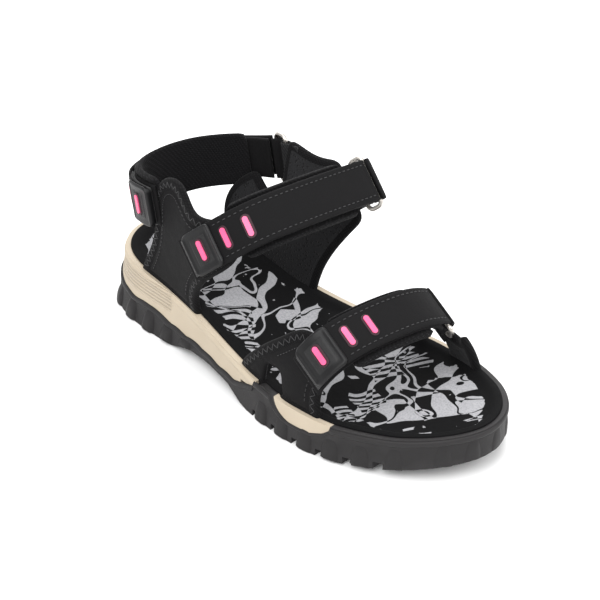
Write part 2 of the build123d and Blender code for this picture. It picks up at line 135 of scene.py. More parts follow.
# ---- meshes -----------------------------------------------------------------------------
def finish_piece(name, points, faces, slots, body, groups=None, replace=()):
    """A mesh object in millimetre points, riding on a body, with its materials."""
    mesh = bpy.data.meshes.new(name)
    mesh.from_pydata((np.array(points) * MM).tolist(), [], faces)
    for m in slots:
        mesh.materials.append(m)
    if groups is not None:
        mesh.polygons.foreach_set("material_index", np.array(groups, np.int32))
    mesh.polygons.foreach_set("use_smooth", [True] * len(mesh.polygons))
    mesh.update()
    obj = bpy.data.objects.new(name, mesh)
    bpy.context.scene.collection.objects.link(obj)
    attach(obj, body)
    if replace:
        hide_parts(*replace)
    return obj


def fill_outline(loops, rings, spacing):
    """Points and triangles that fill an outline, with rings that follow its edges."""
    points = list(loops)
    for d in rings:
        for k, loop in enumerate(loops):
            if k and d > 2:
                continue
            way = normalise(np.roll(loop, -1, 0) - np.roll(loop, 1, 0))
            off = np.stack([-way[:, 1], way[:, 0]], 1)
            area = (loop[:, 0] * np.roll(loop[:, 1], -1) - np.roll(loop[:, 0], -1) * loop[:, 1]).sum()
            off = off if (area > 0) == (k == 0) else -off
            ring = loop + off * d
            points.append(ring[edge_distance(ring, loops) > d * 0.93])
    lo, hi = loops[0].min(0), loops[0].max(0)
    gx, gy = np.meshgrid(np.arange(lo[0], hi[0], spacing), np.arange(lo[1], hi[1], spacing * 0.87))
    gx[1::2] += spacing / 2
    grid = np.stack([gx.ravel(), gy.ravel()], 1)
    grid = grid[edge_distance(grid, loops) > (rings[-1] if rings else 0) + spacing * 0.6]
    points.append(grid)
    allp = np.vstack(points)
    keep = np.ones(len(allp), bool)
    start = sum(len(loop) for loop in loops)
    inside = within(allp[start:], loops[0])
    for hole in loops[1:]:
        inside &= ~within(allp[start:], hole)
    keep[start:] = inside
    allp = allp[keep]
    edges = []
    at = 0
    for loop in loops:
        n = len(loop)
        edges += [(at + i, at + (i + 1) % n) for i in range(n)]
        at += n
    out = delaunay_2d_cdt([Vector(p) for p in allp], edges, [], 1, 1e-4)
    verts = np.array([tuple(v) for v in out[0]])
    tris = np.array([f for f in out[2] if len(f) == 3])
    mid = verts[tris].mean(1)
    good = within(mid, loops[0])
    for hole in loops[1:]:
        good &= ~within(mid, hole)
    return verts, tris[good]


def cut_outline(loop, removed):
    """The outline left when part of its area is taken away, with softly rounded corners."""
    verts, tris = fill_outline([loop], [], 1.3)
    keep = ~removed(verts[tris].mean(1))
    tris = tris[keep]
    seen = {}
    for t in tris:
        for a, b in ((t[0], t[1]), (t[1], t[2]), (t[2], t[0])):
            seen[(a, b)] = seen.get((a, b), 0) + 1
    follow = {a: b for (a, b) in seen if (b, a) not in seen}
    best = []
    left = set(follow)
    while left:
        start = here = next(iter(left))
        path = []
        while here in left:
            left.discard(here)
            path.append(here)
            here = follow[here]
        if len(path) > len(best):
            best = path
    line = resample(verts[best], 1.2, True)
    for _ in range(10):
        line = 0.5 * line + 0.25 * (np.roll(line, 1, 0) + np.roll(line, -1, 0))
    return resample(line, 1.6, True)


EDGE_BAND = 6.0             # width of the bound edge
EDGE_RINGS = (0.3, 0.8, 1.5, 2.5, 4.0, 5.6, 6.2, 6.8, 9.0)


def sheet_piece(name, loops, surface, thickness, radius, slots, body, replace):
    """A padded sheet on a curved surface: rounded edges, bound edge band, two faces."""
    band, puff = EDGE_BAND, 0.35
    verts, tris = fill_outline(loops, EDGE_RINGS, 3.0)
    nearest = edge_distance(verts, loops)
    d = edge_distance(verts, loops[:1])
    fall = np.clip(1 - nearest / radius, 0, 1)
    drop = (1 - np.sqrt(1 - fall ** 2)) * thickness / 2
    bulge = np.where(d < band, np.sin(np.pi * np.clip(d / band, 0, 1)) * puff, 0)
    seam = -0.35 * np.exp(-((d - band - 0.2) / 0.45) ** 2)
    crown = puff * 0.6 * np.clip((d - band) / 6, 0, 1) * np.clip((nearest - 1) / 3, 0, 1)
    front = drop - (bulge + seam) * (nearest > 0.5) - crown
    back = thickness - drop + bulge * 0.6 + crown * 0.5
    rim = nearest < 1e-3
    front[rim] = back[rim] = thickness / 2
    top = surface(verts, front)
    bottom = surface(verts, back)
    n = len(verts)
    link = np.arange(n) + n
    link[rim] = np.arange(n)[rim]
    points = np.vstack([top, bottom])
    mid = d[tris].mean(1)
    faces, groups = [], []
    for t, m in zip(tris, mid):
        faces.append(tuple(int(i) for i in t))
        groups.append(1 if m < band + 0.1 else 0)
    for t, m in zip(tris, mid):
        faces.append((int(link[t[2]]), int(link[t[1]]), int(link[t[0]])))
        groups.append(1 if m < band * 0.6 else 2)
    return finish_piece(name, points, faces, slots, body, groups, replace)


class Stitches:
    """Thread stitches gathered into one mesh per body."""

    def __init__(self):
        self.sets = {}

    def add(self, body, a, b, normal, width=0.62, height=0.5):
        """One stitch from a to b lying on a surface with the given normal."""
        points, faces = self.sets.setdefault(body, ([], []))
        a, b, normal = (np.asarray(v, float) for v in (a, b, normal))
        along = normalise(b - a)
        side = normalise(np.cross(normal, along))
        up = np.cross(along, side)
        first = len(points)
        for f, s in ((0.0, 0.3), (0.15, 0.85), (0.5, 1.0), (0.85, 0.85), (1.0, 0.3)):
            lift = height * (0.1 + 0.9 * math.sin(math.pi * min(max(f, 0.03), 0.97)))
            for k in range(6):
                turn = math.pi * k / 3
                points.append(a + (b - a) * f + side * (math.cos(turn) * width / 2 * s)
                              + up * (math.sin(turn) * width / 2 * s + lift * 0.5 - 0.05))
        for r in range(4):
            for k in range(6):
                i, j = first + r * 6 + k, first + r * 6 + (k + 1) % 6
                faces.append((i, j, j + 6, i + 6))

    def row(self, body, line, normals, length=2.2, gap=1.3, **sizes):
        """Stitches along a polyline."""
        t = np.concatenate([[0], np.cumsum(np.linalg.norm(np.diff(line, axis=0), axis=1))])

        def at(s):
            return np.array([np.interp(s, t, line[:, k]) for k in range(3)])
        s = gap / 2
        while s + length < t[-1]:
            n = np.array([np.interp(s, t, normals[:, k]) for k in range(3)])
            self.add(body, at(s), at(s + length), n, **sizes)
            s += length + gap

    def zigzag(self, body, line_a, line_b, normals, **sizes):
        """Slanted stitches that step between two polylines with matching points."""
        for i in range(len(line_a) - 1):
            a, b = (line_a[i], line_b[i + 1]) if i % 2 == 0 else (line_b[i], line_a[i + 1])
            if np.linalg.norm(b - a) < 9:
                self.add(body, a + (b - a) * 0.04, a + (b - a) * 0.96, normals[i], **sizes)


stitches = Stitches()


# ---- finishes ----------------------------------------------------------------------------
class Finish:
    """A node material with coordinates in millimetres."""

    def __init__(self, name, color, rough, **sockets):
        self.mat = bpy.data.materials.new(name)
        self.mat.use_nodes = True
        self.tree = self.mat.node_tree
        self.tree.nodes.clear()
        self.out = self.node("ShaderNodeOutputMaterial")
        self.bsdf = self.node("ShaderNodeBsdfPrincipled")
        self.link(self.bsdf.outputs[0], self.out.inputs[0])
        self.bsdf.inputs["Base Color"].default_value = (*color, 1)
        self.bsdf.inputs["Roughness"].default_value = rough
        for key, value in sockets.items():
            self.bsdf.inputs[key.replace("_", " ")].default_value = value
        coord = self.node("ShaderNodeTexCoord")
        scale = self.node("ShaderNodeVectorMath", operation="SCALE")
        scale.inputs["Scale"].default_value = 1000.0
        self.link(coord.outputs["Object"], scale.inputs[0])
        self.mm = scale.outputs[0]

    def node(self, kind, **values):
        n = self.tree.nodes.new(kind)
        for key, value in values.items():
            setattr(n, key, value)
        return n

    def link(self, a, b):
        self.tree.links.new(a, b)

    def math(self, op, a, b=None, c=None):
        n = self.node("ShaderNodeMath", operation=op)
        for i, v in enumerate((a, b, c)):
            if v is None:
                continue
            if isinstance(v, (int, float)):
                n.inputs[i].default_value = v
            else:
                self.link(v, n.inputs[i])
        return n.outputs[0]

    def noise(self, size, detail=2.0, vector=None, distort=0.0, rough=0.5):
        """Smooth noise with features of about this many millimetres."""
        n = self.node("ShaderNodeTexNoise")
        n.inputs["Scale"].default_value = 1.0 / size
        n.inputs["Detail"].default_value = detail
        n.inputs["Roughness"].default_value = rough
        n.inputs["Distortion"].default_value = distort
        self.link(vector or self.mm, n.inputs["Vector"])
        return n.outputs["Fac"]

    def cells(self, size, vector=None, feature="F1", distance="EUCLIDEAN", out="Distance"):
        n = self.node("ShaderNodeTexVoronoi", feature=feature)
        if feature != "DISTANCE_TO_EDGE":
            n.distance = distance
        n.inputs["Scale"].default_value = 1.0 / size
        self.link(vector or self.mm, n.inputs["Vector"])
        return n.outputs[out]

    def waves(self, size, axis="X", vector=None, distort=0.0):
        n = self.node("ShaderNodeTexWave", bands_direction=axis)
        n.inputs["Scale"].default_value = 0.3142 / size
        n.inputs["Distortion"].default_value = distort
        self.link(vector or self.mm, n.inputs["Vector"])
        return n.outputs["Fac"]

    def split(self):
        n = self.node("ShaderNodeSeparateXYZ")
        self.link(self.mm, n.inputs[0])
        return n.outputs

    def ramp(self, value, stops, smooth=False):
        n = self.node("ShaderNodeValToRGB")
        n.color_ramp.interpolation = "EASE" if smooth else "LINEAR"
        while len(n.color_ramp.elements) < len(stops):
            n.color_ramp.elements.new(0.5)
        for e, (p, c) in zip(n.color_ramp.elements, stops):
            e.position = p
            e.color = (c, c, c, 1) if isinstance(c, (int, float)) else (*c, 1)
        self.link(value, n.inputs[0])
        return n.outputs[0]

    def mix(self, fac, a, b):
        n = self.node("ShaderNodeMix", data_type="RGBA")
        self.put(n.inputs[0], fac)
        self.put(n.inputs[6], a)
        self.put(n.inputs[7], b)
        return n.outputs[2]

    def put(self, socket, value):
        if isinstance(value, (int, float)):
            socket.default_value = value
        elif isinstance(value, tuple):
            socket.default_value = (*value, 1)
        else:
            self.link(value, socket)

    def color(self, value):
        self.put(self.bsdf.inputs["Base Color"], value)

    def rough(self, low, high, fac):
        r = self.node("ShaderNodeMapRange")
        self.link(fac, r.inputs[0])
        r.inputs["To Min"].default_value = low
        r.inputs["To Max"].default_value = high
        self.link(r.outputs[0], self.bsdf.inputs["Roughness"])

    def bump(self, parts):
        """Relief from (height output, millimetres) pairs."""
        total = None
        for value, height in parts:
            part = self.math("MULTIPLY", value, height)
            total = part if total is None else self.math("ADD", total, part)
        b = self.node("ShaderNodeBump")
        b.inputs["Distance"].default_value = 0.001
        b.inputs["Strength"].default_value = 1.0
        self.link(total, b.inputs["Height"])
        self.link(b.outputs[0], self.bsdf.inputs["Normal"])


def nubuck():
    f = Finish("nubuck", (0.008, 0.008, 0.009), 0.8, Sheen_Weight=0.02, Sheen_Roughness=0.4,
               Specular_IOR_Level=0.13)
    cloud = f.noise(9.0, 3)
    f.color(f.mix(cloud, (0.0030, 0.0029, 0.0032), (0.0070, 0.0067, 0.0072)))
    f.rough(0.7, 0.92, cloud)
    f.bump([(f.noise(0.5, 3), 0.10), (f.cells(0.9), 0.05), (f.noise(6, 2), 0.25)])
    return f.mat


def knit(name, size, base, depth):
    """A fine two-way knit such as neoprene binding or padded lining."""
    f = Finish(name, base, 0.9, Sheen_Weight=0.03, Sheen_Roughness=0.5, Specular_IOR_Level=0.1)
    a, b = f.waves(size, "DIAGONAL", distort=0.4), f.waves(size * 0.8, "Z", distort=0.4)
    weave = f.math("MULTIPLY", a, b)
    f.color(f.mix(weave, tuple(c * 0.6 for c in base), tuple(c * 1.5 for c in base)))
    f.bump([(weave, depth), (f.noise(8, 2), 0.3), (f.noise(0.5, 1), 0.05)])
    return f.mat


def spacer():
    """Padded mesh lining with small round holes."""
    f = Finish("lining", (0.01, 0.01, 0.011), 0.92, Sheen_Weight=0.05, Specular_IOR_Level=0.2)
    dots = f.cells(1.7)
    holes = f.ramp(dots, [(0.18, 0.0), (0.4, 1.0)])
    f.color(f.mix(holes, (0.002, 0.002, 0.002), (0.012, 0.012, 0.013)))
    f.bump([(holes, 0.35), (f.noise(0.4, 2), 0.08), (f.noise(7, 2), 0.3)])
    return f.mat


def webbing():
    f = Finish("webbing", (0.01, 0.01, 0.011), 0.75, Specular_IOR_Level=0.3)
    rib = f.waves(1.1, "DIAGONAL")
    cross = f.waves(0.6, "X")
    f.color(f.mix(rib, (0.004, 0.004, 0.005), (0.018, 0.018, 0.019)))
    f.bump([(rib, 0.25), (cross, 0.12)])
    return f.mat


def loop_tape():
    f = Finish("tape", (0.012, 0.012, 0.013), 0.95, Sheen_Weight=0.15, Sheen_Roughness=0.6)
    fuzz = f.noise(0.35, 4, rough=0.7)
    f.color(f.mix(fuzz, (0.004, 0.004, 0.004), (0.022, 0.022, 0.023)))
    f.bump([(fuzz, 0.6)])
    return f.mat


def thread():
    f = Finish("thread", (0.03, 0.03, 0.032), 0.5)
    twist = f.waves(0.35, "DIAGONAL")
    f.color(f.mix(twist, (0.008, 0.008, 0.009), (0.023, 0.023, 0.0245)))
    f.bump([(twist, 0.06)])
    return f.mat


def moulded(name, base, rough, grain=0.05, edge_highlight=0.35, shine=0.25):
    """Moulded plastic or rubber with fine grain and a painted highlight on sharp convex edges."""
    f = Finish(name, base, rough, Specular_IOR_Level=shine)
    cloud = f.noise(7.0, 4)
    # painted highlight: sharp convex edges (high pointiness) get a lighter colour
    edge = f.node("ShaderNodeNewGeometry").outputs["Pointiness"]
    wear_and_edge_highlight = f.ramp(edge, [(0.5, 0.0), (0.56, 1.0)])
    low, high = tuple(c * 0.8 for c in base), tuple(min(1, c * 1.2) for c in base)
    body = f.mix(cloud, low, high)
    f.color(f.mix(f.math("MULTIPLY", wear_and_edge_highlight, edge_highlight), body, tuple(min(1, c * 1.7 + 0.008) for c in base)))
    f.rough(rough - 0.1, rough + 0.12, cloud)
    f.bump([(f.noise(0.3, 2), grain), (f.noise(2.5, 2), grain)])
    return f.mat


def eva():
    """Cream foam with a faint skin, soft patchy tone and fine ribs on the heel sides, with painted shade in
    the rib grooves.
    """
    base = (0.43, 0.365, 0.28)
    f = Finish("foam", base, 0.62, Subsurface_Weight=0.05, Subsurface_Radius=(0.004, 0.003, 0.002),
               Specular_IOR_Level=0.35)
    cloud, fine = f.noise(14, 4), f.noise(0.7, 3)
    x, y, z = f.split()
    ribs = f.math("SINE", f.math("MULTIPLY", z, 2 * math.pi / 2.1))
    zone = f.math("LESS_THAN", x, 28.0)
    above = f.math("MULTIPLY", f.math("GREATER_THAN", z, 21.0), f.math("LESS_THAN", z, 33.0))
    mask = f.math("MULTIPLY", zone, above)
    shade = f.mix(cloud, (0.40, 0.335, 0.25), (0.47, 0.405, 0.315))
    # painted shade: the colour in the rib grooves is darkened towards brown
    painted_groove_shade = f.math("MULTIPLY", f.math("MULTIPLY", mask, f.math("LESS_THAN", ribs, -0.35)), 0.45)
    f.color(f.mix(painted_groove_shade, shade, (0.22, 0.18, 0.135)))
    f.rough(0.52, 0.72, cloud)
    f.bump([(f.math("MULTIPLY", ribs, mask), 0.22), (fine, 0.06), (cloud, 0.1)])
    return f.mat


def nickel():
    f = Finish("nickel", (0.56, 0.53, 0.49), 0.26, Metallic=1.0)
    f.rough(0.18, 0.42, f.noise(1.5, 5, distort=1.0))
    f.bump([(f.noise(0.6, 3), 0.02)])
    return f.mat


def inner_foam():
    f = Finish("inner_foam", (0.05, 0.05, 0.052), 0.9)
    pores = f.cells(0.8)
    f.color(f.mix(pores, (0.02, 0.02, 0.02), (0.07, 0.07, 0.07)))
    f.bump([(pores, 0.2)])
    return f.mat


def printed():
    """Black footbed cloth with an abstract light-grey print of blocks, swirls and splashes."""
    f = Finish("printed_cloth", (0.006, 0.006, 0.006), 0.9, Specular_IOR_Level=0.12)
    warp = f.node("ShaderNodeTexNoise")
    warp.inputs["Scale"].default_value = 1 / 26.0
    warp.inputs["Detail"].default_value = 1.0
    f.link(f.mm, warp.inputs["Vector"])
    push = f.node("ShaderNodeVectorMath", operation="MULTIPLY_ADD")
    f.link(warp.outputs["Color"], push.inputs[0])
    push.inputs[1].default_value = (22, 22, 0)
    f.link(f.mm, push.inputs[2])
    turned = f.node("ShaderNodeMapping")
    turned.inputs["Rotation"].default_value = (0, 0, 0.5)
    turned.inputs["Scale"].default_value = (1.0, 1.35, 0.0)
    f.link(push.outputs[0], turned.inputs[0])
    blocks = f.cells(26, turned.outputs[0], distance="CHEBYCHEV", out="Color")
    pick = f.node("ShaderNodeSeparateColor")
    f.link(blocks, pick.inputs[0])
    solid = f.math("GREATER_THAN", pick.outputs[0], 0.42)
    borders = f.math("GREATER_THAN", f.cells(26, turned.outputs[0], distance="CHEBYCHEV"), 0.47)
    hatch = f.math("GREATER_THAN", f.waves(5.2, "X", turned.outputs[0], distort=1.2), 0.52)
    striped = f.math("GREATER_THAN", pick.outputs[1], 0.68)
    solid = f.math("MULTIPLY", solid, f.math("SUBTRACT", 1.0, f.math("MULTIPLY", striped, hatch)))
    swirl = f.math("LESS_THAN", f.math("ABSOLUTE", f.math(
        "SUBTRACT", f.noise(27, 0, push.outputs[0], distort=1.1), 0.5)), 0.030)
    strokes = f.math("GREATER_THAN", f.waves(21, "DIAGONAL", turned.outputs[0], distort=4.0), 0.86)
    splash = f.math("GREATER_THAN", f.noise(4.6, 2, rough=0.6), 0.70)
    ink = f.math("MULTIPLY", solid, f.math("SUBTRACT", 1.0, borders))
    ink = f.math("ABSOLUTE", f.math("SUBTRACT", ink, strokes))
    ink = f.math("ABSOLUTE", f.math("SUBTRACT", ink, swirl))
    bare = f.math("GREATER_THAN", f.noise(45, 1), 0.37)
    ink = f.math("MULTIPLY", ink, bare)
    ink = f.math("MAXIMUM", ink, f.math("MULTIPLY", splash, 0.8))
    edge = f.node("ShaderNodeAttribute", attribute_name="edge")
    rough_edge = f.math("ADD", edge.outputs["Fac"], f.math("MULTIPLY", f.noise(9, 3), 16.0))
    inside = f.math("GREATER_THAN", rough_edge, 16.5)
    ink = f.math("MULTIPLY", ink, inside)
    wear_and_edge_highlight = f.ramp(f.noise(0.9, 3), [(0.3, 0.72), (0.6, 1.0)])
    ink = f.math("MULTIPLY", ink, wear_and_edge_highlight)
    weave = f.math("MULTIPLY", f.waves(0.55, "X"), f.waves(0.55, "Y"))
    cloth = f.mix(weave, (0.0028, 0.0028, 0.0031), (0.0066, 0.0066, 0.0069))
    f.color(f.mix(ink, cloth, (0.35, 0.35, 0.365)))
    f.bump([(weave, 0.10), (f.noise(5, 2), 0.35), (f.noise(0.6, 2), 0.06)])
    return f.mat


NUBUCK = nubuck()
BINDING = knit("binding", 1.1, (0.0058, 0.0056, 0.0061), 0.18)
COLLAR = knit("collar", 1.4, (0.0062, 0.006, 0.0066), 0.2)
LINING = spacer()
WEBBING = webbing()
TAPE = loop_tape()
THREAD = thread()
# the rubber, tab and accent finishes carry a painted highlight on their sharp convex edges
RUBBER = moulded("rubber", (0.0125, 0.0115, 0.012), 0.56, 0.08)
TAB = moulded("tab", (0.0045, 0.0045, 0.005), 0.4)
TAB_INLAY = moulded("tab_inlay", (0.010, 0.010, 0.0105), 0.5, 0.16)
PINK = moulded("accent", (0.83, 0.085, 0.215), 0.35, 0.03, 0.1, 0.5)
PINK_EDGE = moulded("accent_edge", (0.03, 0.012, 0.017), 0.5, 0.03)
FOAM = eva()
NICKEL = nickel()
INNER = inner_foam()
PRINT = printed()


# ---- sole lines -------------------------------------------------------------------------------
RIM = [(0, 0), (4, 14), (14, 25), (32, 31.5), (60, 33.5), (95, 32.5), (130, 37), (160, 43.5),
       (190, 47.5), (215, 45.5), (238, 37.5), (254, 25), (263, 10), (264, -2), (258, -16),
       (243, -31), (220, -43), (195, -50), (168, -51.5), (135, -47), (100, -40), (65, -34.5),
       (32, -32), (14, -25), (4, -14)]


def rim_height(u):
    return knots(u, [(0, 37), (25, 36.2), (55, 34), (85, 30.5), (110, 27), (140, 23.2), (165, 22),
                     (200, 21.7), (232, 24.5), (270, 31)])


def ground_height(u):
    return knots(u, [(-10, 3), (4, 0), (62, 0), (80, 6.4), (98, 8), (118, 6.8), (134, 0), (186, 0),
                     (205, 1.3), (228, 4.8), (250, 9.75), (272, 14.6)])


def seam_height(u):
    return knots(u, [(-12, 20), (8, 20.5), (22, 17), (38, 16), (50, 17.5), (64, 14.5), (78, 13.5),
                     (95, 14), (112, 12.5), (126, 12.2), (134, 13.8), (142, 17.5), (149, 21)])


def foot_floor(u):
    return rim_height(u) - 1.5 - knots(u, [(0, 1.5), (60, 1.5), (110, 0), (265, 0)])


def sole_outline(back, side, inset=0.0):
    """Corner points of the sole outline, in the frame's millimetres."""
    points = []
    for u, y in RIM:
        heel = max(0.0, 1.0 - u / 45.0)
        fade = 1.0 - 0.75 * min(1.0, max(0.0, u - 60) / 170)
        points.append((u - HEEL_TO_ORIGIN - back * heel, y + side * fade * max(-1, min(1, y / 20))))
    p = np.array(points)
    if inset:
        way = normalise(np.roll(p, -1, 0) - np.roll(p, 1, 0))
        p = p + np.stack([way[:, 1], -way[:, 0]], 1) * inset
    return p


SOLE_N = 1200              # samples round the sole outline
SOLE_LOW = spline(sole_outline(7.0, 4.0), SOLE_N, True)
SOLE_HIGH = spline(sole_outline(0.0, 0.0), SOLE_N, True)
SOLE_ARC = np.concatenate([[0], np.cumsum(np.linalg.norm(np.diff(SOLE_HIGH, axis=0), axis=1))])


def sole_wall(i, z, out):
    """Point on the sole's side at outline index i, height z, pushed out by a distance."""
    i = np.asarray(i, float) % SOLE_N
    k = (np.asarray(z, float) + 1.0) / 41.0
    grid = np.arange(SOLE_N + 1)
    low = np.stack([np.interp(i, grid, np.append(SOLE_LOW[:, c], SOLE_LOW[0, c])) for c in (0, 1)], -1)
    high = np.stack([np.interp(i, grid, np.append(SOLE_HIGH[:, c], SOLE_HIGH[0, c])) for c in (0, 1)], -1)
    here = low * (1 - k[..., None]) + high * k[..., None]
    a = np.stack([np.interp((i + 2) % SOLE_N, grid, np.append(SOLE_HIGH[:, c], SOLE_HIGH[0, c]))
                  for c in (0, 1)], -1)
    b = np.stack([np.interp((i - 2) % SOLE_N, grid, np.append(SOLE_HIGH[:, c], SOLE_HIGH[0, c]))
                  for c in (0, 1)], -1)
    way = normalise(a - b)
    outward = np.stack([way[..., 1], -way[..., 0]], -1)
    flip = np.sign((outward * (here - np.array([97.0, 0.0]))).sum(-1))
    inward_turn = -1.0 if np.median(flip) < 0 else 1.0
    here = here + outward * (np.asarray(out, float) * inward_turn)[..., None]
    return np.concatenate([here, (np.asarray(z, float) + np.zeros(here.shape[:-1]))[..., None]], -1)


def grid_faces(rows, cols, first=0, wrap=False, flip=False):
    """Quads between the rows and columns of a point grid."""
    faces = []
    for r in range(rows - 1):
        for c in range(cols if wrap else cols - 1):
            d = (c + 1) % cols
            q = (first + r * cols + c, first + r * cols + d, first + (r + 1) * cols + d,
                 first + (r + 1) * cols + c)
            faces.append(q[::-1] if flip else q)
    return faces


def outline_turn():
    """Whether the outline runs counter-clockwise seen from above."""
    p = SOLE_HIGH
    return (p[:, 0] * np.roll(p[:, 1], -1) - np.roll(p[:, 0], -1) * p[:, 1]).sum() > 0


def relief_strip(name, low, high, outs, body, mat, start=0, count=SOLE_N, step=2,
                 sunk=lambda us: us < -99):
    """A raised band on the sole's side between two height lines."""
    ids = (np.arange(start, start + count + (0 if count == SOLE_N else 1), step)) % SOLE_N
    rows = len(outs)
    points = []
    us = SOLE_HIGH[ids, 0] + HEEL_TO_ORIGIN
    lo, hi = low(us, SOLE_ARC[ids]), high(us, SOLE_ARC[ids])
    for part, out in outs:
        points.append(sole_wall(ids, lo + (hi - lo) * part, np.where(sunk(us), -0.6, out)))
    points = np.concatenate(points)
    wrap = count == SOLE_N
    faces = grid_faces(rows, len(ids), 0, wrap, flip=not outline_turn())
    return finish_piece(name, points, faces, [mat], body)


def lug_blocks():
    """Chunky lugs round the sole's side, flush with the tread and rounded at their tops."""
    points, faces = [], []
    spots = SOLE_HIGH + np.array([HEEL_TO_ORIGIN, 0.0])
    centres = []
    for start in [7 + 16 * k for k in range(5)] + [143 + 16 * k for k in range(6)]:
        u = start + 10.5
        for sign in (1, -1):
            side = np.where(spots[:, 1] * sign > 0, abs(spots[:, 0] - u), 1e9)
            centres.append((int(side.argmin()), 5.3 if u < 230 else 4.6))
    for angle in (-58, -20, 20, 58):
        turn = math.radians(angle)
        target = np.array([246 + 26 * math.cos(turn), 30 * math.sin(turn) - 3])
        centres.append((int(np.linalg.norm(spots - target, axis=1).argmin()), 4.8))
    for y in (-13, 0.5, 14):
        side = np.where(spots[:, 0] < 30, abs(spots[:, 1] - y), 1e9)
        centres.append((int(side.argmin()), 4.6))
    per = SOLE_N / SOLE_ARC[-1]
    for i, half in centres:
        u = spots[i, 0]
        ground = float(ground_height(u)) + 0.15
        roof = float(seam_height(u)) if u < 145 else float(rim_height(u)) - 1.5
        height = min(13.5, (roof - ground) * 0.82)
        proud = float(knots(u, [(-40, 2.1), (60, 1.9), (140, 1.7), (185, 1.2), (230, 0.8)]))
        first = len(points)
        rows, cols = 12, 13
        for r in range(rows):
            q = max(0.0, (r - 1) / (rows - 2))
            z = ground + q * height
            wide = half * (1 - 0.42 * q ** 2.2)
            for c in range(cols):
                p = -1 + 2 * c / (cols - 1)
                out = proud * (1 - abs(p) ** 4) * (1 - q ** 4) - 0.25
                out += 0.3 * math.sin(q * 3.0) * (1 - abs(p) ** 3)
                if r == 0:
                    out = -0.3
                points.append(sole_wall(i + p * wide * per, z, out))
        faces += grid_faces(rows, cols, first, flip=not outline_turn())
    obj = finish_piece("sole_lugs", points, faces, [RUBBER], "sandal")
    sub = obj.modifiers.new("smooth", "SUBSURF")
    sub.levels = sub.render_levels = 1


def sole_details():
    """Rubber bead round the seam, toe bumper, heel foam lip and the lugs."""
    lug_blocks()
    scallop = lambda arc: 0.9 * np.abs(np.sin(np.pi * arc / 16.0))
    bead = [(0.0, -0.2), (0.08, 0.5), (0.3, 0.95), (0.6, 1.0), (0.86, 0.75), (0.97, 0.25),
            (1.0, -0.3)]
    top = lambda u, arc: (np.where(u < 145, seam_height(u), rim_height(u) - 0.6)
                          + scallop(arc) * (u < 145))
    relief_strip("rubber_bead", lambda u, arc: top(u, arc) - 3.6, top, bead, "sandal",
                 RUBBER, sunk=lambda us: (us > 159.5) & (us < 200.5))
    under = lambda u, arc: knots(u, [(158, 21.5), (162, 16.2), (170, 12.2), (188, 12.6), (196, 15.8),
                                     (202, 21)])
    relief_strip("window_bead", lambda u, arc: under(u, arc) - 2.2, lambda u, arc: under(u, arc) + 0.2,
                 [(0.0, -0.3), (0.12, 0.35), (0.45, 0.7), (0.8, 0.5), (1.0, -0.3)], "sandal",
                 RUBBER, sunk=lambda us: (us < 158) | (us > 202))
    lip = [(0.0, -0.2), (0.2, 0.3), (0.5, 0.55), (0.8, 0.5), (1.0, -0.15)]
    rear = np.flatnonzero(SOLE_HIGH[:, 0] + HEEL_TO_ORIGIN < 146)
    first = rear[np.argmax(np.diff(np.concatenate([[rear[-1] - SOLE_N], rear])))]
    relief_strip("foam_lip", lambda u, arc: rim_height(u) - 5.0,
                 lambda u, arc: rim_height(u) - 0.9, lip, "sandal", FOAM,
                 start=int(first), count=len(rear) - 2)


def footbed():
    """Printed cloth footbed, cupped a little up the rim at the heel."""
    loop = resample(spline(sole_outline(0, 0, 2.3), 600, True), 2.4, True)

    def surface(p, depth):
        d = edge_distance(p, [loop])
        u = p[:, 0] + HEEL_TO_ORIGIN
        floor = foot_floor(u)
        cup = knots(u, [(0, 1.6), (70, 1.2), (110, 0.2), (265, 0.2)])
        part = np.clip(1 - (d - 3.2) / knots(u, [(0, 13), (90, 10), (130, 4), (265, 4)]), 0, 1)
        rise = (rim_height(u) + 0.95 - floor) * part * part * (3 - 2 * part) + cup * part ** 2 * 0.3
        wave = 0.25 * np.sin(u / 17.0) * np.sin(p[:, 1] / 12.0)
        return np.column_stack([p, foot_floor(u) + rise + wave - depth])
    verts, tris = fill_outline([loop], (0.35, 0.9, 1.8, 3.2, 4.6, 6.0, 7.5, 10.0), 3.0)
    d = edge_distance(verts, [loop])
    fall = np.clip(1 - d / 0.9, 0, 1)
    drop = (1 - np.sqrt(1 - fall ** 2)) * 0.6
    n = len(verts)
    top, low = surface(verts, drop), surface(verts, 1.2 - drop)
    rim = d < 1e-3
    link = np.arange(n) + n
    link[rim] = np.arange(n)[rim]
    faces = [tuple(int(i) for i in t) for t in tris]
    faces += [(int(link[t[2]]), int(link[t[1]]), int(link[t[0]])) for t in tris]
    obj = finish_piece("footbed_cloth", np.vstack([top, low]), faces, [PRINT], "sandal",
                       replace=["footbed_cover"])
    edge = obj.data.attributes.new("edge", "FLOAT", "POINT")
    edge.data.foreach_set("value", np.concatenate([d, d]).astype(np.float32))


# ---- side panels -----------------------------------------------------------------------------------
def through(z, low, middle, high):
    (a, va), (b, vb), (c, vc) = low, middle, high
    return (va * (z - b) * (z - c) / ((a - b) * (a - c)) + vb * (z - a) * (z - c) / ((b - a) * (b - c))
            + vc * (z - a) * (z - b) / ((c - a) * (c - b)))


def lateral_quarter_side(u, z):
    low = knots(u, [(25, 29.5), (32, 31), (65, 33.6), (100, 39), (130, 45)])
    middle = knots(u, [(25, 29), (50, 31.5), (70, 36), (90, 41.5), (110, 42.5), (130, 42)])
    high = knots(u, [(25, 27), (50, 29.5), (66, 32), (86, 38.5), (105, 37), (130, 27)])
    return -through(z, (30, low), (65, middle), (95, high))


def medial_quarter_side(u, z):
    low = knots(u, [(25, 29), (32, 30.6), (60, 32.6), (95, 31.6), (130, 36), (145, 39)])
    middle = knots(u, [(25, 32), (60, 39), (95, 40.5), (120, 44), (145, 48)])
    high = knots(u, [(25, 42), (60, 49.5), (90, 50), (120, 55), (145, 58)])
    return through(z, (30, low), (65, middle), (95, high))


